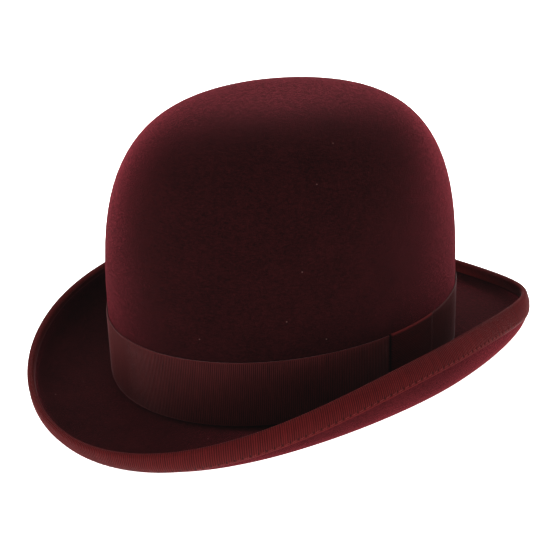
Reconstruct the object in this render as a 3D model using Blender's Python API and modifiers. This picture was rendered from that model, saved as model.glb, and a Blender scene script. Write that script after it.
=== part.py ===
"""Bowler hat: a stiff felt body with a ribbon band, a band keeper and a ribbon-bound curled brim.

Metres, +Z up. The hat stands on a level surface at z = 0 on the front and back dips of its brim.
The forehead faces -Y and the wearer's left side faces +X. The origin is under the middle of its box.

Every piece starts as a turned blank, a profile spun about Z. Its vertices carry the place that
they have on the hat's section, and the blank is then worked into the real form: an oval head, and
a brim whose slope and curl change from front to side to back.
"""

import math

import bmesh
import bpy
from mathutils import Vector

# ---- driving dimensions of the felt body ---------------------------------------------------------
HEAD_LENGTH = 0.2001  # outside of the crown, forehead to back
HEAD_WIDTH = 0.1698  # outside of the crown, side to side
CROWN_HEIGHT = 0.1382  # crown's foot at the sides up to its top
DOME_HEIGHT = 0.1099  # the part of that height that is domed
DOME_RISE_POWER = 3.03  # how square the dome is, measured up
DOME_REACH_POWER = 3.38  # how square the dome is, measured out
FELT = 0.0024  # wall of the felt
EDGE_FELT = 0.0010  # felt pressed thinner under the binding
FOOT_DIP = 0.0020  # crown's foot is lower by this at front and back
BREAK_RADIUS = 0.0015  # between the crown's wall and the brim

# ---- driving dimensions of the brim, each at the front, the sides and the back ------------------------
BRIM_WIDTH = {"front": 0.0491, "side": 0.0489, "back": 0.0541}  # along its upper face
BRIM_SLOPE = {"front": -7.7, "side": 27.0, "back": -6.7}  # degrees up from level
CURL_RADIUS = {"front": 0.0098, "side": 0.0148, "back": 0.0089}  # of its outer face
CURL_END = {"front": 98.4, "side": 147.6, "back": 112.5}  # degrees that the edge has turned to
SIDE_POWER = 2.23  # how far round the side form reaches
REST_DEPTH = 0.0006  # the dips are flattened by this much where the hat stands
REST_BLEND = 0.0001  # half the height over which the flat fades into the round

# ---- driving dimensions of the ribbons -----------------------------------------------------------
RIBBON = 0.0010  # thickness of every ribbon
GAP = 0.0003  # clearance between two pieces
BAND_WIDTH = 0.0333  # height of the hat band
BAND_FOOT = 0.0008  # its lower edge above the foot of the crown
BINDING_WIDTH = 0.0090  # how far the binding reaches in from the brim's edge
KEEPER_WIDTH = 0.0337  # of the tab that wraps the band at the wearer's left
KEEPER_SHIFT = 0.0039  # its middle lies this far behind the middle of the side

# ---- fineness of the solids --------------------------------------------------------------------
SEGMENTS = 72  # round the hat
DOME_ROWS = 9
DOME_SPACING = 1.6  # above 1, the dome's rows are closer together near its top
BAND_ROWS = 3
FLAT_ROWS = 2
ROLL_ROWS = 3
EDGE_ROWS = 3
KEEPER_STEPS = 6
PROBE = 1e-4  # step for the surface's direction, as a share of a span
SAMPLES = 200  # places tried along a span to find its lowest or farthest point
MERGE = 1e-5  # a turned blank's first and last vertices are one within this
SHARP_DEGREES = 40  # edges that turn by more than this stay sharp

# ---- worked out from the driving dimensions -----------------------------------------------------
HALF_LENGTH = HEAD_LENGTH / 2
HALF_WIDTH = HEAD_WIDTH / 2
DOME_FOOT = CROWN_HEIGHT - DOME_HEIGHT
PRESS = (FELT - EDGE_FELT) / 2  # depth of the pressed step on either face
PRESSED_WIDTH = BINDING_WIDTH + 2 * GAP  # so that the binding's edges clear the step
BAND_LIFT = GAP + RIBBON  # outer face of the band above the felt
KEEPER_LIFT = BAND_LIFT + GAP + RIBBON

# Spans of the section, from the top of the crown to the brim's edge. A place on it is a span and a
# value: a share of the span from 0 to 1, a height above the foot in "band", and in "edge" the
# distance still to go to the brim's edge.
SPANS = ("dome", "band", "break", "flat", "roll", "edge")


def shares(count, first=0.0, last=1.0):
    """Evenly spaced values from first to last, both included."""
    return [first + (last - first) * i / count for i in range(count + 1)]


def around(table, turn):
    """A brim measure at this turn, where 0 is the wearer's left and 90 degrees is the back."""
    end = table["back"] if math.sin(turn) > 0 else table["front"]
    share = abs(math.sin(turn)) ** SIDE_POWER
    return table["side"] + (end - table["side"]) * share


def foot_height(turn):
    return -FOOT_DIP * math.sin(turn) ** 2


def crown_shrink(height):
    """Share of the full oval that the crown has at this height above its foot at the sides."""
    rise = max(0.0, (height - DOME_FOOT) / DOME_HEIGHT)
    return max(0.0, 1 - rise**DOME_RISE_POWER) ** (1 / DOME_REACH_POWER)


def crown_point(turn, height, shrink):
    """A point of the crown. The dip of the foot fades out towards the top."""
    dip = foot_height(turn) * (1 - height / CROWN_HEIGHT)
    return Vector((
        HALF_WIDTH * math.cos(turn) * shrink,
        HALF_LENGTH * math.sin(turn) * shrink,
        height + dip,
    ))


def brim_point(turn, outward, height):
    """A point this far out from the crown's foot oval, square to it."""
    square = Vector((math.cos(turn) / HALF_WIDTH, math.sin(turn) / HALF_LENGTH, 0)).normalized()
    foot = Vector((HALF_WIDTH * math.cos(turn), HALF_LENGTH * math.sin(turn), foot_height(turn)))
    return foot + square * outward + Vector((0, 0, height))


def upper_face(turn, span, value):
    """A point of the face that is seen from above: the crown's outside and the brim's top."""
    if span == "dome":
        reach = math.sin(value * math.pi / 2)
        shrink = reach ** (2 / DOME_REACH_POWER)
        rise = (1 - reach**2) ** (1 / DOME_RISE_POWER)
        return crown_point(turn, DOME_FOOT + DOME_HEIGHT * rise, shrink)
    if span == "band":
        return crown_point(turn, value, crown_shrink(value))
    slope = math.radians(around(BRIM_SLOPE, turn))
    end = math.radians(around(CURL_END, turn))
    radius = around(CURL_RADIUS, turn) - FELT
    tangent = BREAK_RADIUS * math.tan(math.pi / 4 + slope / 2)
    curl = radius * (end - slope)
    straight = around(BRIM_WIDTH, turn) - curl
    if span == "break":
        angle = math.pi + value * (math.pi / 2 + slope)
        outward = BREAK_RADIUS * (1 + math.cos(angle))
        return brim_point(turn, outward, BREAK_RADIUS * math.sin(angle))
    if span == "flat":
        along = tangent + value * (straight - tangent)
        return brim_point(turn, along * math.cos(slope), along * math.sin(slope) - tangent)
    done = value * (curl - PRESSED_WIDTH) if span == "roll" else curl - value
    angle = slope + done / radius
    outward = straight * math.cos(slope) + radius * (math.sin(angle) - math.sin(slope))
    height = straight * math.sin(slope) + radius * (math.cos(slope) - math.cos(angle))
    return brim_point(turn, outward, height - tangent)


def upright(turn, span, value):
    """The direction that leaves the upper face at a place, square to it."""
    if span == "dome" and value < PROBE:
        return Vector((0, 0, 1))
    if span in ("band", "edge"):
        above, below = value + PROBE * BINDING_WIDTH, value - PROBE * BINDING_WIDTH
    else:
        above, below = max(value - PROBE, 0.0), min(value + PROBE, 1.0)
    down = upper_face(turn, span, below) - upper_face(turn, span, above)
    sideways = upper_face(turn + PROBE, span, value) - upper_face(turn - PROBE, span, value)
    return down.cross(sideways).normalized()


def flattened(height):
    """Height of a point of the underside once the dips are pressed flat at 0."""
    if height <= -REST_BLEND:
        return 0.0
    if height >= REST_BLEND:
        return height
    return (height + REST_BLEND) ** 2 / (4 * REST_BLEND)


def loose_point(turn, span, value, lift):
    """A place of the section, this far above the upper face, before the hat is stood up."""
    return upper_face(turn, span, value) + upright(turn, span, value) * lift


def lowest_underside():
    """The lowest height of the free underside, at the front dip."""
    turn = -math.pi / 2
    return min(loose_point(turn, "roll", share, -FELT).z for share in shares(SAMPLES))


FOOT_LEVEL = -lowest_underside() - REST_DEPTH  # crown's foot at the sides above the surface


def end_of_hat(sign):
    """The farthest that the bound brim reaches to the front (-1) or the back (1)."""
    turn = sign * math.pi / 2
    places = shares(SAMPLES, PRESSED_WIDTH, 0.0)
    reach = max(sign * loose_point(turn, "edge", value, -FELT).y for value in places)
    return sign * (reach - PRESS + GAP + RIBBON)


MIDDLE = (end_of_hat(1) + end_of_hat(-1)) / 2  # of the whole length, measured from the crown's middle


def hat_point(turn, span, value, lift):
    """A place of the section on the standing hat."""
    point = loose_point(turn, span, value, lift)
    point.y -= MIDDLE
    point.z += FOOT_LEVEL
    if span in ("break", "flat", "roll", "edge"):
        underside = loose_point(turn, span, value, -FELT).z + FOOT_LEVEL
        point.z += flattened(underside) - underside
    return point


def turned_blank(name, places, closed, sweep=2 * math.pi, steps=SEGMENTS):
    """Spins a profile of (span, value, lift) places about Z and keeps each vertex's place on it."""
    form = bmesh.new()
    span_layer = form.verts.layers.int.new("span")
    value_layer = form.verts.layers.float.new("value")
    lift_layer = form.verts.layers.float.new("lift")
    for span, value, lift in places:
        point = loose_point(0.0, span, value, lift)
        vert = form.verts.new((max(point.x, 0.0), 0, point.z))
        vert[span_layer] = SPANS.index(span)
        vert[value_layer] = value
        vert[lift_layer] = lift
    form.verts.ensure_lookup_table()
    ends = range(len(places)) if closed else range(len(places) - 1)
    for i in ends:
        form.edges.new((form.verts[i], form.verts[(i + 1) % len(places)]))
    mesh = bpy.data.meshes.new(name)
    form.to_mesh(mesh)
    form.free()
    blank = bpy.data.objects.new(name, mesh)
    hat.objects.link(blank)
    screw = blank.modifiers.new("turn", "SCREW")
    screw.angle = sweep
    screw.steps = steps
    screw.render_steps = steps
    screw.use_merge_vertices = sweep == 2 * math.pi
    screw.merge_threshold = MERGE
    return blank


def worked(blank, first_turn=0.0):
    """Replaces the blank by the real form, made from the place that each vertex carries."""
    graph = bpy.context.evaluated_depsgraph_get()
    mesh = bpy.data.meshes.new_from_object(blank.evaluated_get(graph))
    spans = mesh.attributes["span"].data
    values = mesh.attributes["value"].data
    lifts = mesh.attributes["lift"].data
    for i, vert in enumerate(mesh.vertices):
        turn = first_turn + math.atan2(vert.co.y, vert.co.x)
        vert.co = hat_point(turn, SPANS[spans[i].value], values[i].value, lifts[i].value)
    for layer in ("span", "value", "lift"):
        mesh.attributes.remove(mesh.attributes[layer])
    turned = blank.data
    blank.modifiers.clear()
    blank.data = mesh
    bpy.data.meshes.remove(turned)
    mesh.name = blank.name
    return blank


def finished(piece, material):
    """Shades a piece smooth but for its real edges and gives it its material."""
    piece.data.materials.append(material)
    piece.data.shade_smooth()
    piece.data.set_sharp_from_angle(angle=math.radians(SHARP_DEGREES))
    return piece


def plain_material(name, colour, roughness):
    material = bpy.data.materials.new(name)
    material.use_nodes = True
    shader = material.node_tree.nodes["Principled BSDF"]
    shader.inputs["Base Color"].default_value = (*colour, 1)
    shader.inputs["Roughness"].default_value = roughness
    shader.inputs["Metallic"].default_value = 0.0
    return material


def edge_values():
    """Distances to the brim's edge at which the felt and its binding both have a row."""
    return shares(EDGE_ROWS, BINDING_WIDTH, 0.0)


def make_felt_body(material):
    """Crown and brim in one wall: down its outside, round the brim's edge and up its inside."""
    outer = [("dome", share**DOME_SPACING, 0.0) for share in shares(DOME_ROWS)]
    band_rows = shares(BAND_ROWS, DOME_FOOT, 0.0)[1:]
    outer += [("band", height, 0.0) for height in band_rows]
    outer += [("break", 0.5, 0.0)]
    outer += [("flat", share, 0.0) for share in shares(FLAT_ROWS)]
    outer += [("roll", share, 0.0) for share in shares(ROLL_ROWS)[1:]]
    inner = [(span, value, -FELT) for span, value, _ in outer]
    pressed = [PRESSED_WIDTH - GAP] + edge_values()
    outer += [("edge", value, -PRESS) for value in pressed]
    inner += [("edge", value, PRESS - FELT) for value in pressed]
    profile = outer + inner[::-1]
    return finished(worked(turned_blank("felt_body", profile, closed=False)), material)


def band_heights():
    """Heights above the foot at which the band has a row, from its upper edge to its lower."""
    return shares(BAND_ROWS, BAND_FOOT + BAND_WIDTH, BAND_FOOT)


def make_hat_band(material):
    """The ribbon round the crown's foot, a closed ring with its own thickness."""
    outer = [("band", height, BAND_LIFT) for height in band_heights()]
    inner = [("band", height, GAP) for height in band_heights()]
    profile = outer + inner[::-1]
    return finished(worked(turned_blank("hat_band", profile, closed=True)), material)


def make_band_keeper(material):
    """The tab at the wearer's left: a ribbon round the band, turned in over both of its edges."""
    low = BAND_FOOT
    high = BAND_FOOT + BAND_WIDTH
    face = [("band", height, KEEPER_LIFT) for height in shares(BAND_ROWS, high + GAP + RIBBON, low)]
    back = [("band", height, KEEPER_LIFT - RIBBON) for height in shares(BAND_ROWS, low, high + GAP)]
    turned_in = [("band", high + GAP, GAP), ("band", high + GAP + RIBBON, GAP)]
    sweep = KEEPER_WIDTH / (HALF_LENGTH + KEEPER_LIFT)
    first_turn = KEEPER_SHIFT / (HALF_LENGTH + KEEPER_LIFT) - sweep / 2
    blank = turned_blank("band_keeper", face + back + turned_in, True, sweep, KEEPER_STEPS)
    keeper = worked(blank, first_turn)
    form = bmesh.new()
    form.from_mesh(keeper.data)
    bmesh.ops.holes_fill(form, edges=form.edges, sides=0)
    bmesh.ops.recalc_face_normals(form, faces=form.faces)
    form.to_mesh(keeper.data)
    form.free()
    return finished(keeper, material)


def make_brim_binding(material):
    """The ribbon folded over the brim's edge: along its upper face, past the edge and back below."""
    upper = GAP - PRESS
    lower = PRESS - FELT - GAP
    places = edge_values()[:-1] + [-GAP]
    outside = [("edge", value, upper + RIBBON) for value in places]
    outside += [("edge", -GAP - RIBBON, upper), ("edge", -GAP - RIBBON, lower)]
    outside += [("edge", value, lower - RIBBON) for value in places[::-1]]
    inside = [("edge", value, lower) for value in places]
    inside += [("edge", value, upper) for value in places[::-1]]
    return finished(worked(turned_blank("brim_binding", outside + inside, closed=True)), material)


for old in list(bpy.data.objects):
    bpy.data.objects.remove(old)
hat = bpy.data.collections.new("bowler_hat")
bpy.context.scene.collection.children.link(hat)

burgundy_felt = plain_material("burgundy_felt", (0.045, 0.007, 0.011), 0.92)
burgundy_ribbon = plain_material("burgundy_ribbon", (0.065, 0.010, 0.012), 0.55)

make_felt_body(burgundy_felt)
make_hat_band(burgundy_ribbon)
make_band_keeper(burgundy_ribbon)
make_brim_binding(burgundy_ribbon)
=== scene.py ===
# %% [markdown]
# # A burgundy bowler hat
# A bowler is one hood of stiff felt, blocked into a round crown and a brim that dips at front and
# back and curls over at the sides. Its only trims are ribbon: a wide band round the crown, a tab that
# holds the band's join, and a binding folded over the brim's edge and stitched down.
# The solids that carry the size and weight are ready in a fixed frame. This lesson makes the looks:
# the same shapes again, but fine enough for a smooth felt surface and for every rib of the ribbon.

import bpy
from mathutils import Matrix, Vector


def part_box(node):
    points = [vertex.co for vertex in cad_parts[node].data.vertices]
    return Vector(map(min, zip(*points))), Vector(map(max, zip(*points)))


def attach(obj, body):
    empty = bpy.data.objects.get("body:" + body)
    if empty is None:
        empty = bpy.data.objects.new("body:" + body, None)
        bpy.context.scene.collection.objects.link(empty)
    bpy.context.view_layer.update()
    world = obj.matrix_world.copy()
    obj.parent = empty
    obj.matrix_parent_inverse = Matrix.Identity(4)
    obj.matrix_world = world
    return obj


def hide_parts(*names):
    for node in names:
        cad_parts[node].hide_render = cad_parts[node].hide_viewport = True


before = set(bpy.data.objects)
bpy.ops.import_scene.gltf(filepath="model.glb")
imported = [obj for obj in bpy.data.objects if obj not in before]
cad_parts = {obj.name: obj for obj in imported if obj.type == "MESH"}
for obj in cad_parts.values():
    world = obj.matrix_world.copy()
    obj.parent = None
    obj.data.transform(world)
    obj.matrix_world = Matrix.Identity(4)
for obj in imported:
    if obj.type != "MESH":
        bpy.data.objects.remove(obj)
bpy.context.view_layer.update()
print("frame nodes:", ", ".join(sorted(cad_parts)))

# %% Modules
import math
from collections import namedtuple

import bmesh
import bpy
import numpy as np
from mathutils import Matrix, Vector

MM = 0.001
print("Blender", bpy.app.version_string, "with numpy", np.__version__)

# %% [markdown]
# ## The hat's surface as a formula
# A hat has no flat face and no round one, so its pieces are not cut from primitives. Each is first
# turned, as on a lathe, from a line of points. Then every point is moved to its real place: the round
# becomes the oval of a head, and the brim gets the slope and curl that it has at that turn.
# A place on the hat is a turn round the crown (0 at the wearer's left, a quarter turn on at the
# back), a stretch of the section, how far along that stretch, and a lift off the surface.
# The formula is smooth, so a piece can be made as fine as its looks ask for.

# %% Sizes of the felt, in metres
CROWN_HEIGHT = 138.2 * MM  # foot of the crown, at the sides, up to its top
DOME_HEIGHT = 109.9 * MM  # the domed part of it
DOME_FOOT = CROWN_HEIGHT - DOME_HEIGHT
RISE_POWER = 3.03  # how square the dome is, measured up
REACH_POWER = 3.38  # how square the dome is, measured out
FELT = 2.4 * MM
FOOT_DIP = 2.0 * MM  # the foot is lower by this at front and back
BREAK_RADIUS = 1.5 * MM  # between the crown and the brim
BAND_PROUD = 1.3 * MM  # outer face of the frame's band above the felt

band_low, band_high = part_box("hat_band")
_, felt_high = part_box("felt_body")
HALF_WIDTH = (band_high.x - band_low.x) / 2 - BAND_PROUD
HALF_LENGTH = (band_high.y - band_low.y) / 2 - BAND_PROUD
CROWN_Y = (band_high.y + band_low.y) / 2
FOOT_LEVEL = felt_high.z - CROWN_HEIGHT
print(f"crown {2000 * HALF_WIDTH:.1f} x {2000 * HALF_LENGTH:.1f} mm, its foot {1000 * FOOT_LEVEL:.1f} mm up")

# %% Sizes of the brim, each at the side, the front and the back
Ends = namedtuple("Ends", "side front back")
BRIM_WIDTH = Ends(48.9 * MM, 49.1 * MM, 54.1 * MM)
BRIM_SLOPE = Ends(math.radians(27.0), math.radians(-7.7), math.radians(-6.7))
CURL_RADIUS = Ends(14.8 * MM, 9.8 * MM, 8.9 * MM)
CURL_END = Ends(math.radians(147.6), math.radians(98.4), math.radians(112.5))
SIDE_POWER = 2.23  # how far round the side form reaches
REST_BLEND = 0.1 * MM  # half the height over which the pressed rest fades out


def around(ends, turn):
    """A brim measure at these turns."""
    far = np.where(np.sin(turn) > 0, ends.back, ends.front)
    return ends.side + (far - ends.side) * np.abs(np.sin(turn)) ** SIDE_POWER


print("brim width at the side, front and back in mm:", [round(1000 * width, 1) for width in BRIM_WIDTH])


# %% The face that is seen from above, from the top of the crown to the edge of the brim
def crown_place(turn, height, shrink):
    """A point at this height on the crown's oval, which shrinks as the dome closes."""
    dip = -FOOT_DIP * np.sin(turn) ** 2 * (1 - height / CROWN_HEIGHT)
    x = HALF_WIDTH * np.cos(turn) * shrink
    y = HALF_LENGTH * np.sin(turn) * shrink
    return np.stack([x, y, height + dip], axis=-1)


def brim_place(turn, outward, height):
    """A point this far out from the crown's foot, square to its oval."""
    square = np.stack([np.cos(turn) / HALF_WIDTH, np.sin(turn) / HALF_LENGTH, 0 * turn], axis=-1)
    square /= np.linalg.norm(square, axis=-1, keepdims=True)
    foot = crown_place(turn, 0 * turn, 1)
    return foot + square * outward[..., None] + np.array([0, 0, 1]) * height[..., None]


def upper_face(turn, span, value):
    """Points of the upper face. A value is a share of its span, a height above the foot in "band",
    and in "edge" the distance still to go to the brim's edge."""
    if span == "dome":
        reach = np.sin(value * math.pi / 2)
        rise = (1 - reach**2) ** (1 / RISE_POWER)
        return crown_place(turn, DOME_FOOT + DOME_HEIGHT * rise, reach ** (2 / REACH_POWER))
    if span == "band":
        rise = np.maximum(0, (value - DOME_FOOT) / DOME_HEIGHT)
        return crown_place(turn, value, (1 - rise**RISE_POWER) ** (1 / REACH_POWER))
    slope = around(BRIM_SLOPE, turn)
    end = around(CURL_END, turn)
    radius = around(CURL_RADIUS, turn) - FELT
    tangent = BREAK_RADIUS * np.tan(math.pi / 4 + slope / 2)
    curl = radius * (end - slope)
    straight = around(BRIM_WIDTH, turn) - curl
    if span == "break":
        angle = math.pi + value * (math.pi / 2 + slope)
        return brim_place(turn, BREAK_RADIUS * (1 + np.cos(angle)), BREAK_RADIUS * np.sin(angle))
    if span == "flat":
        along = tangent + value * (straight - tangent)
        return brim_place(turn, along * np.cos(slope), along * np.sin(slope) - tangent)
    angle = slope + (value * curl if span == "roll" else curl - value) / radius
    outward = straight * np.cos(slope) + radius * (np.sin(angle) - np.sin(slope))
    height = straight * np.sin(slope) + radius * (np.cos(slope) - np.cos(angle))
    return brim_place(turn, outward, height - tangent)


side_and_back = np.array([0, math.pi / 2])
edge_reach = np.linalg.norm(upper_face(side_and_back, "edge", 0 * side_and_back)[:, :2], axis=1)
print("brim's edge from the crown's middle at the side and back in mm:", np.round(1000 * edge_reach, 1))

# %% A place on the standing hat
PROBE = 1e-4  # how far to either side the slope of the surface is measured


def upright(turn, span, value):
    """The direction that leaves the upper face, square to it."""
    step = PROBE * (0.01 if span in ("band", "edge") else 1)
    above, below = value - step, value + step
    if span not in ("band", "edge"):
        above, below = np.maximum(above, 0), np.minimum(below, 1)
    along = upper_face(turn, span, below) - upper_face(turn, span, above)
    if span in ("band", "edge"):
        along = -along
    sideways = upper_face(turn + PROBE, span, value) - upper_face(turn - PROBE, span, value)
    normal = np.cross(along, sideways)
    size = np.linalg.norm(normal, axis=-1, keepdims=True)
    return np.where(size > 0, normal / np.maximum(size, 1e-30), np.array([0.0, 0.0, 1.0]))


def hat_place(turn, span, value, lift):
    """Points on the hat as it stands in the frame, its dips pressed flat where they rest."""
    turn = np.asarray(turn, float)
    value = value + 0 * turn
    normal = upright(turn, span, value)
    surface = upper_face(turn, span, value) + np.array([0, CROWN_Y, FOOT_LEVEL])
    point = surface + normal * (lift + 0 * turn)[..., None]
    if span in ("break", "flat", "roll", "edge"):
        under = (surface - normal * FELT)[..., 2]
        blend = (under + REST_BLEND) ** 2 / (4 * REST_BLEND)
        pressed = np.where(under <= -REST_BLEND, 0, np.where(under >= REST_BLEND, under, blend))
        point[..., 2] += pressed - under
    return point


front_and_back = np.array([-math.pi / 2, math.pi / 2])
dips = hat_place(front_and_back, "roll", 0.0, -FELT)
print("underside at the front and back in mm up:", np.round(1000 * dips[:, 2], 1))

# %% [markdown]
# ## Turning a blank and working it into a piece
# bmesh.ops.spin carries a line of points round an axis and joins the stations with faces. Each vertex
# keeps the number of its row in a layer, and its angle on the lathe says how far round it is. That is
# all that is needed to move it to its place afterwards.
# Ribbon has ribs at an even pitch, but the hat is oval, so equal angles would give wider ribs at the
# sides. The stations are shared out by length along a guide line on the hat.

# %% Rows and stations
FULL_TURN = 2 * math.pi
# A row is a place on the section. Relief moves it by so much in value and in lift. "across" is how
# far it is across the ribbon, "ribs" how much of the ribs it shows, "pull" how much a stitch pulls it
# and how much painted shade it gets there, and the last field how much painted highlight lifts the
# ribbon's edge to a lighter line.
Row = namedtuple("Row", "span value lift to_value to_lift across ribs pull worn",
                 defaults=(0, 1, 0, 0, 0, 0))


def shares(count, first=0.0, last=1.0):
    """Even steps from first to last, with both ends."""
    return [first + (last - first) * i / count for i in range(count + 1)]


def by_length(span, value, lift, samples=2880):
    """Says at which turn each station stands, so that they are evenly spaced along a line."""
    turns = np.linspace(0, FULL_TURN, samples + 1)
    line = hat_place(turns, span, value, lift)
    steps = np.linalg.norm(np.diff(line, axis=0), axis=1)
    walked = np.concatenate([[0], np.cumsum(steps)])
    return lambda share: np.interp(share * walked[-1], walked, turns), walked[-1]


foot_turn_of, foot_length = by_length("band", 0.0, 0.0)
print(f"foot of the crown {1000 * foot_length:.0f} mm round,",
      f"an eighth of it takes {math.degrees(foot_turn_of(1 / 8)):.1f} degrees from the side")

# %% The spin
SEAM = 1e-6  # vertices nearer than this are one
SECTORS = 32  # a full turn's stations are a multiple of this


def profile_of(rows, closed):
    """A bmesh with one vertex for each row, joined in a line, at its place at the wearer's left."""
    form = bmesh.new()
    row_layer = form.verts.layers.int.new("row")
    for i, row in enumerate(rows):
        point = hat_place(0.0, row.span, row.value, row.lift)
        vert = form.verts.new((0 if row.span == "dome" and row.value == 0 else point[0], 0, point[2]))
        vert[row_layer] = i
    form.verts.ensure_lookup_table()
    for i in range(len(rows) - (not closed)):
        form.edges.new((form.verts[i], form.verts[(i + 1) % len(rows)]))
    return form


def spun(rows, stations, closed, sweep=FULL_TURN):
    """Turns the rows round Z. A full turn is spun as one sector, which is then doubled up."""
    form = profile_of(rows, closed)
    covered = sweep / (SECTORS if sweep == FULL_TURN else 1)
    bmesh.ops.spin(
        form,
        geom=form.verts[:] + form.edges[:],
        cent=(0, 0, 0),
        axis=(0, 0, 1),
        dvec=(0, 0, 0),
        angle=covered,
        steps=round(stations * covered / sweep),
        use_merge=False,
        use_normal_flip=False,
        use_duplicate=False,
    )
    while covered < sweep - SEAM:
        copy = bmesh.ops.duplicate(form, geom=form.verts[:] + form.edges[:] + form.faces[:])
        moved = [item for item in copy["geom"] if isinstance(item, bmesh.types.BMVert)]
        bmesh.ops.rotate(form, cent=(0, 0, 0), matrix=Matrix.Rotation(covered, 3, "Z"), verts=moved)
        covered *= 2
    bmesh.ops.remove_doubles(form, verts=form.verts, dist=SEAM)
    return form


print(f"one sector is {360 / SECTORS} degrees, doubled {math.log2(SECTORS):.0f} times")


# %% What a vertex knows, and its place on the hat
def angles_of(form):
    """The angle of every vertex on the lathe, from 0 up to a full turn."""
    found = np.array([math.atan2(v.co.y, v.co.x) for v in form.verts])
    return np.where(found < -SEAM, found + FULL_TURN, np.maximum(found, 0))


def mark(form, rows, name, amount):
    """Keeps a number on every vertex for the finish to read."""
    layer = form.verts.layers.float.new(name)
    row_layer = form.verts.layers.int["row"]
    shares_round = angles_of(form) / FULL_TURN
    numbers = np.array([v[row_layer] for v in form.verts])
    form.verts.ensure_lookup_table()
    for number, row in enumerate(rows):
        chosen = np.flatnonzero(numbers == number)
        for i, value in zip(chosen, amount(row, shares_round[chosen]) + 0 * shares_round[chosen]):
            form.verts[i][layer] = value


def lay_uv(form, rows, ribs, turned=False):
    """A UV map that counts ribs: along the ribbon, and as far across it. It is unbroken over the seam."""
    uv = form.loops.layers.uv.new("ribbon")
    row_layer = form.verts.layers.int["row"]
    for face in form.faces:
        middle = face.calc_center_median()
        base = math.atan2(middle.y, middle.x)
        for loop in face.loops:
            angle = math.atan2(loop.vert.co.y, loop.vert.co.x)
            along = base + (angle - base + math.pi) % FULL_TURN - math.pi
            place = (along / FULL_TURN * ribs, rows[loop.vert[row_layer]].across / RIB_PITCH)
            loop[uv].uv = place[::-1] if turned else place


def work(form, rows, turn_of, relief=None):
    """Moves every vertex from the lathe to its place on the hat."""
    row_layer = form.verts.layers.int["row"]
    angles = angles_of(form)
    numbers = np.array([v[row_layer] for v in form.verts])
    form.verts.ensure_lookup_table()
    for number, row in enumerate(rows):
        chosen = np.flatnonzero(numbers == number)
        share = angles[chosen] / FULL_TURN
        rise = relief(row, share) if relief else 0 * share
        places = hat_place(turn_of(share), row.span, row.value + row.to_value * rise,
                           row.lift + row.to_lift * rise)
        for i, place in zip(chosen, places):
            form.verts[i].co = place


print("a row holds:", ", ".join(Row._fields))


# %% A finished piece
def piece_from(form, name, material, slot, *nodes):
    """Makes a finished object of a bmesh, rides it on the hat and lets it stand for CAD nodes."""
    mesh = bpy.data.meshes.new(name)
    form.to_mesh(mesh)
    form.free()
    mesh.shade_smooth()
    mesh.materials.append(material)
    piece = bpy.data.objects.new(name, mesh)
    bpy.context.scene.collection.objects.link(piece)
    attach(piece, "root")
    if nodes:
        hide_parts(*nodes)
    triangles = sum(len(p.vertices) - 2 for p in mesh.polygons)
    print(f"{name}: {len(mesh.vertices)} vertices, {triangles} triangles, mm",
          [round(1000 * d, 1) for d in piece.dimensions])
    return piece


print("pieces stand for these frame nodes:", ", ".join(sorted(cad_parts)))

# %% [markdown]
# ## Shader sums
# Node trees for felt and ribbon are mostly arithmetic, which is easier to read as sums than as links.
# A Value wraps a socket. Adding or multiplying Values adds the Math nodes. Every other node comes from
# one method, which takes its settings first and then what its sockets get.

# %% Values
class Value:
    """A number socket that can be used in a sum."""

    def __init__(self, tree, socket):
        self.tree = tree
        self.socket = socket

    def sum_with(self, operation, first, second):
        node = self.tree.nodes.new("ShaderNodeMath")
        node.operation = operation
        for slot, term in zip(node.inputs, (first, second)):
            feed(self.tree, slot, term)
        return Value(self.tree, node.outputs[0])

    def __add__(self, other):
        return self.sum_with("ADD", self, other)

    def __radd__(self, other):
        return self.sum_with("ADD", other, self)

    def __sub__(self, other):
        return self.sum_with("SUBTRACT", self, other)

    def __rsub__(self, other):
        return self.sum_with("SUBTRACT", other, self)

    def __mul__(self, other):
        return self.sum_with("MULTIPLY", self, other)

    def __rmul__(self, other):
        return self.sum_with("MULTIPLY", other, self)


def feed(tree, slot, term):
    """Links a Value into a socket, or sets a plain number, colour or vector on it."""
    if isinstance(term, Value):
        tree.links.new(term.socket, slot)
    elif slot.type == "RGBA":
        slot.default_value = (*term, 1)
    else:
        slot.default_value = term


print("a Value can be used with + - *, on either side")


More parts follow.
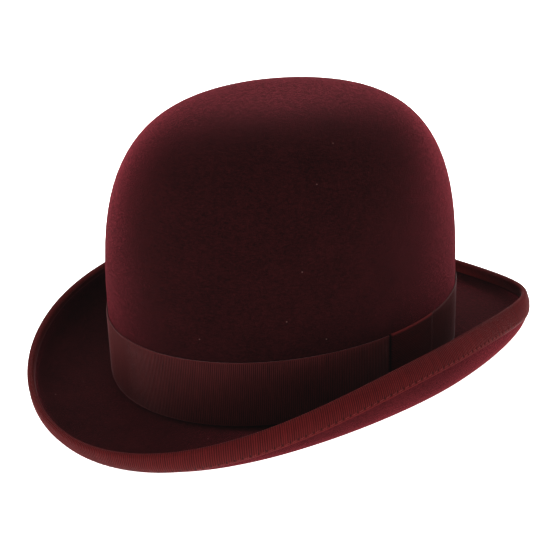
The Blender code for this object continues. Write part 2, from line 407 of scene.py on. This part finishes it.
# %% Recipes
class Recipe:
    """A material with one Principled shader, and a method that adds any other node."""

    def __init__(self, name, constants):
        self.material = bpy.data.materials.new(name)
        self.material.use_nodes = True
        self.tree = self.material.node_tree
        self.shader = self.tree.nodes["Principled BSDF"]
        for socket, value in constants.items():
            self.set(socket, value)

    def set(self, socket, term):
        feed(self.tree, self.shader.inputs[socket], term)

    def node(self, kind, settings, sockets, output):
        made = self.tree.nodes.new(kind)
        for key, setting in settings.items():
            setattr(made, key, setting)
        for key, term in sockets.items():
            feed(self.tree, made.inputs[key], term)
        return Value(self.tree, made.outputs[output])

    def noise(self, place, scale, detail=2.0, roughness=0.5, distortion=0.0):
        sockets = {"Vector": place, "Scale": scale, "Detail": detail, "Roughness": roughness,
                   "Distortion": distortion}
        return self.node("ShaderNodeTexNoise", {}, sockets, "Fac")

    def stretched(self, value, low, high, to_low=0.0, to_high=1.0):
        """Maps low..high onto to_low..to_high and stops there."""
        sockets = {"Value": value, "From Min": low, "From Max": high, "To Min": to_low, "To Max": to_high}
        return self.node("ShaderNodeMapRange", {"clamp": True}, sockets, "Result")

    def mixed(self, share, first, second):
        """A colour between two, by share."""
        sockets = {0: share, 6: first, 7: second}
        return self.node("ShaderNodeMix", {"data_type": "RGBA"}, sockets, 2)

    def bump(self, height, distance, strength=1.0):
        sockets = {"Height": height, "Distance": distance, "Strength": strength}
        self.set("Normal", self.node("ShaderNodeBump", {}, sockets, "Normal"))

    def patches(self, share, constants):
        """Mixes in a second Principled shader, the same but for these constants, by share."""
        second = self.tree.nodes.new("ShaderNodeBsdfPrincipled")
        for slot, twin in zip(self.shader.inputs, second.inputs):
            if slot.is_linked:
                self.tree.links.new(slot.links[0].from_socket, twin)
            else:
                twin.default_value = constants.get(slot.name, slot.default_value)
        sockets = {0: share, 1: Value(self.tree, self.shader.outputs[0]),
                   2: Value(self.tree, second.outputs[0])}
        both = self.node("ShaderNodeMixShader", {}, sockets, 0)
        feed(self.tree, self.tree.nodes["Material Output"].inputs["Surface"], both)


print("a Recipe can:", ", ".join(word for word in vars(Recipe) if not word.startswith("_")))

# %% [markdown]
# ## Felt
# Wool felt is a mat of fine fibres with a short brushed nap. Seen face on it is nearly black red.
# Towards the outline the nap catches light and the colour lifts to a soft pinkish red: that is what
# the Sheen lobe is for. A hatter's brush leaves the nap in patches, so a second shader with less sheen
# is mixed in by the same noise. The dye takes unevenly, so the colour is mottled at three sizes, and a
# few pale flecks of lint sit in the nap. The brim's underside is painted a lighter red: painted light
# that stands in for the light from the bright floor below.

# %% Felt colours and sizes of its grain
FELT_DEEP = (0.005, 0.0007, 0.0009)
FELT_LIGHT = (0.029, 0.0036, 0.0042)
# Painted light: the brim's underside takes these lighter reds, standing in for light from the bright floor
# below.
FLOOR_LIGHT_PAINTED_DEEP = (0.022, 0.0022, 0.0030)
FLOOR_LIGHT_PAINTED_PALE = (0.090, 0.0085, 0.0115)
LINT = (0.13, 0.06, 0.055)
NAP_SHEEN = 1.0
FLAT_SHEEN = 0.4  # where the nap lies down
BRUSHED = (1, 1, 2.4)  # the nap is drawn out round the hat
CLOUD_SCALE = 60.0
NAP_SCALE = 460.0
GRAIN_SCALE = 1700.0
LINT_SCALE = 70.0
LINT_CORE = 0.012  # a fleck is solid within this distance and gone past the next
LINT_RIM = 0.030
NAP_DEPTH = 0.5 * MM


# %% Felt finish
def felt_finish():
    felt = Recipe("burgundy_felt", {
        "Roughness": 0.95,
        "Specular IOR Level": 0.02,
        "Sheen Weight": NAP_SHEEN,
        "Sheen Roughness": 0.27,
        "Sheen Tint": (0.78, 0.078, 0.120),
    })
    place = felt.node("ShaderNodeTexCoord", {}, {}, "Object")
    brushed = felt.node("ShaderNodeMapping", {}, {"Vector": place, "Scale": BRUSHED}, "Vector")
    cloud = felt.noise(place, CLOUD_SCALE)
    nap = felt.noise(brushed, NAP_SCALE, detail=3.0, roughness=0.7, distortion=0.4)
    grain = felt.noise(brushed, GRAIN_SCALE, roughness=0.7)
    tone = felt.stretched(cloud * 0.12 + nap * 0.46 + grain * 0.42, 0.38, 0.62)
    colour = felt.mixed(tone, FELT_DEEP, FELT_LIGHT)
    # Painted light from the floor below: the brim's underside is mixed to the lighter reds.
    floor_lit_colour = felt.mixed(tone, FLOOR_LIGHT_PAINTED_DEEP, FLOOR_LIGHT_PAINTED_PALE)
    under = felt.node("ShaderNodeAttribute", {"attribute_name": "under"}, {}, "Fac")
    colour = felt.mixed(under, colour, floor_lit_colour)
    flecks = felt.node("ShaderNodeTexVoronoi", {}, {"Vector": place, "Scale": LINT_SCALE}, "Distance")
    lint = felt.stretched(flecks, LINT_CORE, LINT_RIM, 1.0, 0.0)
    felt.set("Base Color", felt.mixed(lint, colour, LINT))
    felt.bump(nap * 0.3 + grain * 0.7, NAP_DEPTH, 0.8)
    felt.patches(felt.stretched(nap * 0.7 + grain * 0.3, 0.42, 0.58), {"Sheen Weight": FLAT_SHEEN})
    return felt.material


felt_material = felt_finish()
print("felt finish:", len(felt_material.node_tree.nodes), "nodes")

# %% [markdown]
# ## The felt body
# The crown and the brim are one wall, so they are one piece: a line that runs down the outside, round
# the edge and up the inside, turned in one go. Rows stand close together where the section bends.

# %% Felt body
FELT_STATIONS = 288
EDGE_ROUND = FELT / 2  # the felt's edge is half a round


def felt_rows():
    """From the top of the crown down the outside, round the edge and up the inside."""
    outer = [Row("dome", share**1.5, 0.0) for share in shares(30)]
    outer += [Row("band", height, 0.0) for height in shares(5, DOME_FOOT, 0.0)[1:]]
    outer += [Row("break", share, 0.0) for share in shares(4)[1:]]
    outer += [Row("flat", share, 0.0) for share in shares(12)[1:]]
    outer += [Row("roll", share, 0.0) for share in shares(14, 0.0, 0.9)[1:]]
    inner = [row._replace(lift=-FELT) for row in outer[::-1]]
    edge = []
    for angle in shares(6, 90, -90):
        turned = math.radians(angle)
        edge.append(Row("edge", EDGE_ROUND * (1 - math.cos(turned)), EDGE_ROUND * (math.sin(turned) - 1)))
    return outer + edge + inner


def make_felt_body():
    rows = felt_rows()
    form = spun(rows, FELT_STATIONS, closed=False)
    brim = ("break", "flat", "roll", "edge")
    mark(form, rows, "under", lambda row, share: float(row.span in brim and row.lift < -EDGE_ROUND))
    work(form, rows, lambda share: share * FULL_TURN)
    bmesh.ops.recalc_face_normals(form, faces=form.faces)
    return piece_from(form, "felt", felt_material, "burgundy_felt", "felt_body")


felt_piece = make_felt_body()

# %% [markdown]
# ## Ribbon
# The trims are grosgrain: silky threads laid over thick cross cords, which gives the close ribs. The
# ribs are real here, four stations to a rib, because they are what makes the ribbon look like one.
# The grooves are painted darker than the ridges, which is painted shade, the dye runs in streaks along
# the cords, and a folded edge is painted a lighter line, which is painted highlight. Slits, stitch
# dimples and tab edges get painted shade. Marks on the vertices tell the finish where each of these is.

# %% Ribbon sizes and colours
RIB_PITCH = 0.93 * MM
BINDING_PITCH = 1.05 * MM
RIB_DEPTH = 0.22 * MM
RIBBON = 0.45 * MM
# Painted shade: a dark colour put in the band's slit, in the stitch dimples and along the tab's front and
# back edges.
PAINTED_RECESS_SHADE = (0.0040, 0.0009, 0.0010)
EDGE_HIGHLIGHT_GAIN = 1.6  # painted highlight: an edge is painted this much lighter than a ridge
STREAKS = (1, 0.06, 1)  # the dye is drawn out across the ribbon, along its cords


def ribs_round(length, pitch):
    """Ribs in a full turn of ribbon. Four stations to a rib have to fill whole sectors."""
    return SECTORS // 4 * round(length / pitch / (SECTORS // 4))


def rib_wave(share, count):
    """1 on the ridge of a rib and 0 in the groove, count ribs to the whole length."""
    return 0.5 + 0.5 * np.cos(FULL_TURN * share * count)


print(f"ribs to 100 mm: band {100 * MM / RIB_PITCH:.0f}, binding {100 * MM / BINDING_PITCH:.0f}")


# %% Ribbon finish
def ribbon_finish(name, groove, ridge, sheen):
    ribbon = Recipe(name, {
        "Specular IOR Level": 0.03,
        "Sheen Weight": sheen,
        "Sheen Roughness": 0.3,
        "Sheen Tint": (0.42, 0.28, 0.29),
    })
    counted = ribbon.node("ShaderNodeUVMap", {"uv_map": "ribbon"}, {}, "UV")
    streaked = ribbon.node("ShaderNodeMapping", {}, {"Vector": counted, "Scale": STREAKS}, "Vector")
    place = ribbon.node("ShaderNodeTexCoord", {}, {}, "Object")
    along = ribbon.node("ShaderNodeSeparateXYZ", {}, {"Vector": counted}, "X")
    ribs = ribbon.node("ShaderNodeAttribute", {"attribute_name": "ribs"}, {}, "Fac")
    hole = ribbon.node("ShaderNodeAttribute", {"attribute_name": "hole"}, {}, "Fac")
    worn = ribbon.node("ShaderNodeAttribute", {"attribute_name": "worn"}, {}, "Fac")
    # Painted shade: the colour is darker in the grooves between the ribs than on their ridges.
    wave = ribbon.node("ShaderNodeMath", {"operation": "COSINE"}, {0: along * FULL_TURN}, 0)
    raised = ribbon.stretched(wave, -0.6, 0.75)
    thread = ribbon.noise(counted, 2.2, roughness=0.6)
    dye = ribbon.noise(streaked, 1.3, roughness=0.6)
    cloud = ribbon.noise(place, 45.0)
    tone = raised * ribs + (1 - ribs) * 0.7
    tone = ribbon.stretched(tone * 0.7 + thread * 0.3 + dye * 0.7 + cloud * 0.3, 0.5, 1.5)
    colour = ribbon.mixed(tone, groove, ridge)
    # Painted highlight: folded and outer edges are painted lighter than a ridge.
    colour = ribbon.mixed(worn, colour, tuple(EDGE_HIGHLIGHT_GAIN * part for part in ridge))
    # Painted shade in the slit, the stitch dimples and along the tab's edges.
    ribbon.set("Base Color", ribbon.mixed(hole, colour, PAINTED_RECESS_SHADE))
    ribbon.set("Roughness", ribbon.stretched(thread, 0.3, 0.7, 0.5, 0.66))
    ribbon.bump(raised * ribs * 0.7 + thread * 0.3, 0.12 * MM, 0.6)
    return ribbon.material


# One ribbon in three tones. The band's and the keeper's colours are painted darker than the binding's, which
# is painted shade; the keeper is darkest.
band_shaded_material = ribbon_finish("band_ribbon_shaded", (0.009, 0.0014, 0.0015), (0.096, 0.0136, 0.0139), 0.65)
keeper_shaded_material = ribbon_finish("keeper_ribbon_shaded", (0.005, 0.0005, 0.0006), (0.064, 0.0055, 0.0058), 0.0)
binding_material = ribbon_finish("binding_ribbon", (0.026, 0.0020, 0.0021), (0.122, 0.0078, 0.0082), 0.4)
ribbon_materials = (band_shaded_material, keeper_shaded_material, binding_material)
print("ribbon finishes:", ", ".join(material.name for material in ribbon_materials))

# %% [markdown]
# ## The band
# The band is a plain ring of ribbon round the foot of the crown. Its two edges are the selvages,
# where the ribs end in a thin firm line. In front of the tab that hides its join the band's end is
# tucked in, which leaves a slit. The slit is pressed into the same mesh, as it is in the ribbon, and
# is painted dark: painted shade.

# %% Band and keeper sizes
BAND_WIDTH = 33.3 * MM
BAND_FOOT = 0.8 * MM  # its lower edge above the foot of the crown
BAND_GAP = 0.3 * MM  # felt to the back of the ribbon
BAND_OUT = BAND_GAP + RIBBON
SELVAGE = 0.5 * MM
# The selvage as a line: so far in from the ribbon's edge, and so far below its face.
SELVAGE_LINE = ((0.0, 0.1 * MM), (0.4 * SELVAGE, 0.02 * MM), (SELVAGE, 0.06 * MM))
KEEPER_WIDTH = 33.7 * MM
KEEPER_SHIFT = 3.9 * MM  # its middle lies this far behind the middle of the side
KEEPER_FIRST = (KEEPER_SHIFT - KEEPER_WIDTH / 2) / HALF_LENGTH  # the turn at which it starts
SLIT = 0.75 * MM
SLIT_DEPTH = 0.35 * MM
print(f"keeper from {math.degrees(KEEPER_FIRST):.1f} degrees,",
      f"{math.degrees(KEEPER_WIDTH / HALF_LENGTH):.1f} degrees wide")


# %% Hat band
def ribbon_profile(low, high, inner, outer):
    """Rows round a ribbon's closed section, from its upper edge down its face and up its back."""
    face = [Row("band", high - inward, outer - drop, across=high - inward) for inward, drop in SELVAGE_LINE]
    body = shares(8, high - 1.5 * SELVAGE, low + 1.5 * SELVAGE)
    face += [Row("band", height, outer, across=height, ribs=1) for height in body]
    face += [Row("band", low + inward, outer - drop, across=low + inward)
             for inward, drop in SELVAGE_LINE[::-1]]
    back = [Row("band", height, inner, across=height) for height in shares(3, low, high)]
    return face + back


def make_band():
    rows = ribbon_profile(BAND_FOOT, BAND_FOOT + BAND_WIDTH, BAND_GAP, BAND_OUT)
    turn_of, length = by_length("band", BAND_WIDTH / 2, BAND_OUT)
    ribs = ribs_round(length, RIB_PITCH)
    form = spun(rows, 4 * ribs, closed=True)
    lay_uv(form, rows, ribs)

    def join(row, share):
        """The slit beside the keeper where the band's end is tucked in, wider at its top, and its painted
        shade.
        """
        turned = (turn_of(share) + math.pi) % FULL_TURN - math.pi
        off = np.abs(turned - KEEPER_FIRST) * HALF_LENGTH + 0 * share
        wide = SLIT * (0.35 + 0.75 * row.across / BAND_WIDTH)
        return np.exp(-(off / wide) ** 4) * (row.lift > 0.5 * BAND_OUT)

    mark(form, rows, "ribs", lambda row, share: row.ribs)
    # Painted shade: the slit is painted dark by this mark.
    mark(form, rows, "hole", join)

    def relief(row, share):
        return row.ribs * RIB_DEPTH * (rib_wave(share, ribs) - 0.5) - SLIT_DEPTH * join(row, share)

    rows = [row._replace(to_lift=1.0) if row.lift > 0.5 * BAND_OUT else row for row in rows]
    work(form, rows, turn_of, relief)
    bmesh.ops.recalc_face_normals(form, faces=form.faces)
    print(f"band {1000 * length:.0f} mm round, {ribs} ribs")
    return piece_from(form, "band", band_shaded_material, "burgundy_ribbon", "hat_band")


band_piece = make_band()

# %% [markdown]
# ## The binding
# A narrower ribbon is folded over the brim's edge and sewn down through the felt. It is turned like the
# band, but its section follows the felt round the fold. Where the thread goes in, it pulls the ribbon
# down into a small dimple, and the dimple is painted dark: painted shade. The ribbon's outer edge is
# painted a lighter line: painted highlight.

# %% Binding sizes
BINDING_WIDTH = 9.0 * MM
BINDING_INSIDE = 6.0 * MM  # the fold is nearer to the ribbon's inner edge
STITCH_LINE = BINDING_WIDTH - 1.0 * MM
STITCH_PITCH = 3.7 * MM
DIMPLE = 0.28 * MM  # how far a stitch pulls the ribbon down
BINDING_GAP = 0.05 * MM  # felt to the back of the ribbon
FOLD_ACROSS = 4 * MM  # the fold's share of the ribbon, to either side of its middle
print(f"binding {1000 * (BINDING_WIDTH + BINDING_INSIDE):.0f} mm of ribbon across, stitches every",
      f"{1000 * STITCH_PITCH:.1f} mm")


# %% Brim binding
def folded(distance, angle, out, **more):
    """A row of the binding round the felt's edge: above it at +90 degrees, below it at -90."""
    turned = math.radians(angle)
    reach = EDGE_ROUND + out
    value = EDGE_ROUND - reach * math.cos(turned) + distance
    lift = -EDGE_ROUND + reach * math.sin(turned)
    return Row("edge", value, lift, -math.cos(turned), math.sin(turned), **more)


def binding_rows():
    """From the edge on the upper face, round the fold to the stitched edge, and back underneath."""
    out = RIBBON
    outside = BINDING_WIDTH - EDGE_ROUND
    inside = BINDING_INSIDE - EDGE_ROUND
    stitch = STITCH_LINE - EDGE_ROUND
    # Each row's distance from the fold, height over the felt, ribs, pull of a stitch and painted edge
    # highlight.
    lower = [
        (stitch * 0.5, out, 1, 0, 0),
        (stitch - 0.9 * MM, out, 1, 0.1, 0),
        (stitch - 0.45 * MM, out, 1, 1, 0),
        (stitch, out, 1, 1, 0),
        (stitch + 0.35 * MM, out, 0.7, 0.4, 0),
        (outside - 0.35 * MM, out, 0.2, 0, 0),
        (outside - 0.1 * MM, out, 0, 0, 0.5),
        (outside, out - 0.25 * MM, 0, 0, 0.3),
    ]
    # The same without the last two: no stitch and no painted edge highlight shows here.
    upper = [
        (inside, out - 0.25 * MM, 0),
        (inside - 0.15 * MM, out, 0),
        (inside - 0.45 * MM, out - 0.05 * MM, 0.5),
    ]
    rows = [folded(distance, 90, height, across=distance + FOLD_ACROSS, ribs=ribs)
            for distance, height, ribs in upper]
    rows += [folded(0, angle, out, across=FOLD_ACROSS * angle / 90, ribs=1)
             for angle in shares(6, 90, -90)]
    rows += [folded(distance, -90, height, across=-distance - FOLD_ACROSS, ribs=ribs, pull=pull, worn=worn)
             for distance, height, ribs, pull, worn in lower]
    rows += [folded(distance, angle, BINDING_GAP)
             for distance, angle in ((outside, -90), (0, -90), (0, 0), (0, 90), (inside, 90))]
    return rows


def make_binding():
    rows = binding_rows()
    turn_of, length = by_length("edge", 0.0, -EDGE_ROUND)
    ribs = ribs_round(length, BINDING_PITCH)
    stitches = round(length / STITCH_PITCH)
    form = spun(rows, 4 * ribs, closed=True)
    lay_uv(form, rows, ribs)

    # The stitch pattern: it sinks the dimples and puts painted shade in them.
    def hole(row, share):
        return row.pull * np.maximum(0, np.cos(FULL_TURN * share * stitches)) ** 8

    mark(form, rows, "ribs", lambda row, share: row.ribs)
    # Painted highlight along the binding's outer edge.
    mark(form, rows, "worn", lambda row, share: row.worn)
    # Painted shade in the stitch dimples.
    mark(form, rows, "hole", hole)

    def relief(row, share):
        return row.ribs * RIB_DEPTH * (rib_wave(share, ribs) - 0.5) - DIMPLE * hole(row, share)

    work(form, rows, turn_of, relief)
    bmesh.ops.recalc_face_normals(form, faces=form.faces)
    print(f"binding {1000 * length:.0f} mm round, {ribs} ribs, {stitches} stitches")
    made = piece_from(form, "binding", binding_material, "burgundy_ribbon", "brim_binding")
    return made, turn_of, length, stitches


binding_piece, edge_turn_of, edge_length, stitch_count = make_binding()

# %% [markdown]
# ## The stitches
# One stitch is a short length of thread, drawn tight so that its ends dip into the ribbon. All of them
# are first laid out on a straight line, then the line is wrapped round the brim like the ribbon was.

# %% Thread
THREAD = 0.15 * MM  # half its thickness
STITCH_LENGTH = 2.8 * MM
STITCH_BOW = 0.16 * MM  # its middle stands this far above its ends
STITCH_SUNK = 0.14 * MM
STITCH_SLANT = 0.12  # a stitch lies a little across the line, as sewing by hand leaves it
THREAD_DARK = (0.11, 0.013, 0.014)
THREAD_LIGHT = (0.22, 0.030, 0.032)


def thread_finish():
    thread = Recipe("burgundy_thread", {
        "Roughness": 0.6,
        "Specular IOR Level": 0.05,
    })
    place = thread.node("ShaderNodeTexCoord", {}, {}, "Object")
    twist = thread.noise(place, 3000.0)
    thread.set("Base Color", thread.mixed(twist, THREAD_DARK, THREAD_LIGHT))
    thread.bump(twist, 0.05 * MM, 0.6)
    return thread.material


thread_material = thread_finish()
print("thread finish:", len(thread_material.node_tree.nodes), "nodes")


# %% Stitches
def one_stitch():
    """A stitch lying along X at the origin, its ends thinner and lower than its middle."""
    form = bmesh.new()
    lying = Matrix.Rotation(math.pi / 2, 4, "Y")
    bmesh.ops.create_cone(form, cap_ends=True, segments=6, radius1=THREAD, radius2=THREAD,
                          depth=STITCH_LENGTH, matrix=lying)
    along = [e for e in form.edges if abs(e.verts[0].co.x - e.verts[1].co.x) > THREAD]
    bmesh.ops.subdivide_edges(form, edges=along, cuts=3)
    for vert in form.verts:
        near = vert.co.x / (STITCH_LENGTH / 2)
        slim = 1 - 0.55 * near**4
        vert.co.y = vert.co.y * slim
        vert.co.z = vert.co.z * slim + (1 - near**2) * STITCH_BOW - STITCH_SUNK
    return form


def make_stitches():
    """Copies the stitch once for each place and wraps every copy round the brim."""
    form = one_stitch()
    number = form.verts.layers.int.new("number")
    single = form.verts[:] + form.edges[:] + form.faces[:]
    for copy in range(1, stitch_count):
        made = bmesh.ops.duplicate(form, geom=single)
        for vert in made["geom"]:
            if isinstance(vert, bmesh.types.BMVert):
                vert[number] = copy
    flat = np.array([v.co for v in form.verts])
    numbers = np.array([v[number] for v in form.verts])
    middle = (numbers + 0.5) / stitch_count
    share = (middle + flat[:, 0] / edge_length) % 1.0
    lift = -FELT - RIBBON - flat[:, 2]
    inward = STITCH_LINE + flat[:, 1] - STITCH_SLANT * flat[:, 0]
    places = hat_place(edge_turn_of(share), "edge", inward, lift)
    for vert, place in zip(form.verts, places):
        vert.co = place
    bmesh.ops.recalc_face_normals(form, faces=form.faces)
    return piece_from(form, "stitches", thread_material, "burgundy_ribbon")


stitch_piece = make_stitches()

# %% [markdown]
# ## The keeper
# The band's join is hidden at the wearer's left under a tab of the same ribbon, set at right angles: its
# ribs run round the hat. It is turned in over both edges of the band, so it stands a little proud. Its
# ribbon is painted darker than the band's, which is painted shade, its folded top edge is painted a
# lighter line, which is painted highlight, and its front and back edges are painted dark, which is
# painted shadow.

# %% Band keeper
KEEPER_GAP = 0.12 * MM  # band to the back of the keeper's face
KEEPER_OUT = BAND_OUT + KEEPER_GAP + RIBBON
KEEPER_STATIONS = 64
SIDE_DROP = 0.42 * MM  # the tab's front and back edges are rounded down by this
SIDE_REACH = 0.55 * MM


def keeper_rows():
    """From the turned-in top edge, over the fold, down the face, under the foot and up the back."""
    low = BAND_FOOT
    high = BAND_FOOT + BAND_WIDTH
    inner = BAND_OUT + 0.1 * MM
    ribs = round(BAND_WIDTH / RIB_PITCH)
    # Each row's height, its lift off the felt, and how much painted highlight lifts the fold there.
    hem = [
        (high + 0.15 * MM, BAND_GAP + 0.1 * MM, 0),
        (high + 0.45 * MM, BAND_GAP + 0.15 * MM, 1),
        (high + 0.65 * MM, 0.55 * KEEPER_OUT, 1),
        (high + 0.50 * MM, 0.9 * KEEPER_OUT, 1),
        (high + 0.05 * MM, KEEPER_OUT + 0.06 * MM, 0.9),
        (high - 0.5 * MM, KEEPER_OUT + 0.04 * MM, 0.2),
    ]
    rows = [Row("band", height, lift, across=0, ribs=1 - worn, worn=worn) for height, lift, worn in hem]
    for height in shares(4 * ribs, high - 0.9 * MM, low + 0.5 * MM):
        down = high - height
        wave = rib_wave(down / RIB_PITCH, 1)
        rows.append(Row("band", height, KEEPER_OUT + RIB_DEPTH * (wave - 0.5), across=down, ribs=1))
    rows += [Row("band", low + 0.1 * MM, KEEPER_OUT - 0.1 * MM), Row("band", low, inner)]
    rows += [Row("band", height, inner) for height in shares(3, low + 0.4 * MM, high)]
    return rows + [Row("band", high + 0.15 * MM, inner)]


def make_keeper():
    rows = keeper_rows()
    reach = HALF_LENGTH
    sweep = KEEPER_WIDTH / reach
    form = spun(rows, KEEPER_STATIONS, closed=True, sweep=sweep)
    lay_uv(form, rows, FULL_TURN * reach / RIB_PITCH, turned=True)
    mark(form, rows, "ribs", lambda row, share: row.ribs)
    # Painted highlight along the tab's folded top edge.
    mark(form, rows, "worn", lambda row, share: row.worn)

    def side_edge(row, share):
        """1 at the front and back edges of the tab, and 0 a little way in."""
        near = np.minimum(share, sweep / FULL_TURN - share) * FULL_TURN * reach
        return np.exp(-(np.maximum(near, 0) / SIDE_REACH) ** 2)

    # Painted shadow along the tab's front and back edges.
    mark(form, rows, "hole", lambda row, share: 0.9 * side_edge(row, share))

    def relief(row, share):
        return -SIDE_DROP * side_edge(row, share)

    rows = [row._replace(to_lift=1.0) if row.lift > BAND_OUT + 0.2 * MM else row for row in rows]
    work(form, rows, lambda share: KEEPER_FIRST + share * FULL_TURN, relief)
    bmesh.ops.holes_fill(form, edges=form.edges, sides=0)
    bmesh.ops.recalc_face_normals(form, faces=form.faces)
    return piece_from(form, "keeper", keeper_shaded_material, "burgundy_ribbon", "band_keeper")


keeper_piece = make_keeper()

# %% [markdown]
# ## Floor, light and camera
# The hat stands on a plain pale floor in a bright, even studio. Wide soft lights at both sides and above
# graze the nap, which is what draws the light outline round the dark felt.

# %% Floor
def make_floor():
    form = bmesh.new()
    bmesh.ops.create_grid(form, x_segments=1, y_segments=1, size=6.0)
    mesh = bpy.data.meshes.new("floor")
    form.to_mesh(mesh)
    form.free()
    paint = Recipe("floor_paint", {
        "Base Color": (0.9, 0.9, 0.9),
        "Roughness": 0.8,
        "Emission Color": (1, 1, 1),
        "Emission Strength": 1.45,
    })
    mesh.materials.append(paint.material)
    floor = bpy.data.objects.new("floor", mesh)
    bpy.context.scene.collection.objects.link(floor)
    return floor


floor = make_floor()
print("floor in m:", [round(side, 1) for side in floor.dimensions])


# %% Light
AIM = Vector((0, 0, 0.08))  # every light points at the middle of the hat
# Each light's place in metres, the length of its square's side and its power in watts.
LIGHTS = {
    "back_light": ((-0.998, 0.982, 0.9), 1.1, 18),
    "left_light": ((-0.982, -0.998, 0.7), 1.1, 13),
    "right_light": ((0.06, 1.49, 0.8), 1.1, 8),
    "front_light": ((1.485, -0.058, 0.8), 1.1, 4.5),
    "overhead": ((0, 0, 1.6), 1.6, 15),
}


def soft_light(name, place, side, power):
    lamp = bpy.data.lights.new(name, "AREA")
    lamp.shape = "RECTANGLE"
    lamp.size = side
    lamp.size_y = side
    lamp.energy = power
    light = bpy.data.objects.new(name, lamp)
    light.location = place
    light.rotation_euler = (Vector(place) - AIM).to_track_quat("Z", "Y").to_euler()
    bpy.context.scene.collection.objects.link(light)


def make_studio(backdrop, light):
    """Even light from all round, in front of a plain backdrop that is brighter than the light."""
    studio = bpy.data.worlds.new("studio")
    studio.use_nodes = True
    tree = studio.node_tree
    background = tree.nodes["Background"]
    background.inputs["Color"].default_value = (1, 1, 1, 1)
    seen = Value(tree, tree.nodes.new("ShaderNodeLightPath").outputs["Is Camera Ray"])
    feed(tree, background.inputs["Strength"], seen * (backdrop - light) + light)
    bpy.context.scene.world = studio


make_studio(backdrop=1.0, light=0.05)
for name, (place, side, power) in LIGHTS.items():
    soft_light(name, place, side, power)
print("lights in watts:", {name: power for name, (place, side, power) in LIGHTS.items()})

# %% [markdown]
# ## Tone and camera
# The standard view keeps the dark reds as they are. A bright surround always throws a little stray light
# across a dark subject, so the darkest tone is not quite black. The camera looks down a little on the
# wearer's left and the forehead, and a long lens keeps the far brim from shrinking away.

# %% View
VEIL = 0.0028  # stray light, as a share of white
view = bpy.context.scene.view_settings
view.view_transform = "Standard"
view.use_curve_mapping = True
view.curve_mapping.black_level = (-VEIL, -VEIL, -VEIL)
view.curve_mapping.update()
print("darkest tone:", VEIL)

# %% Camera
CAMERA_AZIMUTH = math.radians(45.48)
CAMERA_ELEVATION = math.radians(23.16)
CAMERA_ROLL = math.radians(-1.63)
CAMERA_DISTANCE = 723.1 * MM
CAMERA_TARGET = Vector((-48.2, 41.8, 17.2)) * MM
LENS = 78.0  # in millimetres, as Blender takes it
FILM = 36.0


def make_camera():
    level = math.cos(CAMERA_ELEVATION)
    back = Vector((math.sin(CAMERA_AZIMUTH) * level, -math.cos(CAMERA_AZIMUTH) * level,
                   math.sin(CAMERA_ELEVATION)))
    right = Vector((math.cos(CAMERA_AZIMUTH), math.sin(CAMERA_AZIMUTH), 0))
    up = back.cross(right)
    rolled_right = right * math.cos(CAMERA_ROLL) + up * math.sin(CAMERA_ROLL)
    rolled_up = up * math.cos(CAMERA_ROLL) - right * math.sin(CAMERA_ROLL)
    lens = bpy.data.cameras.new("camera")
    lens.lens = LENS
    lens.sensor_width = FILM
    camera = bpy.data.objects.new("camera", lens)
    turned = Matrix((rolled_right, rolled_up, back)).transposed().to_4x4()
    camera.matrix_world = Matrix.Translation(CAMERA_TARGET + back * CAMERA_DISTANCE) @ turned
    bpy.context.scene.collection.objects.link(camera)
    bpy.context.scene.camera = camera
    return camera


camera = make_camera()
print("camera height in mm:", round(1000 * camera.location.z))

# %% All pieces
pieces = (felt_piece, band_piece, binding_piece, stitch_piece, keeper_piece)
total = sum(len(face.vertices) - 2 for piece in pieces for face in piece.data.polygons)
print(len(pieces), "pieces,", total, "triangles")
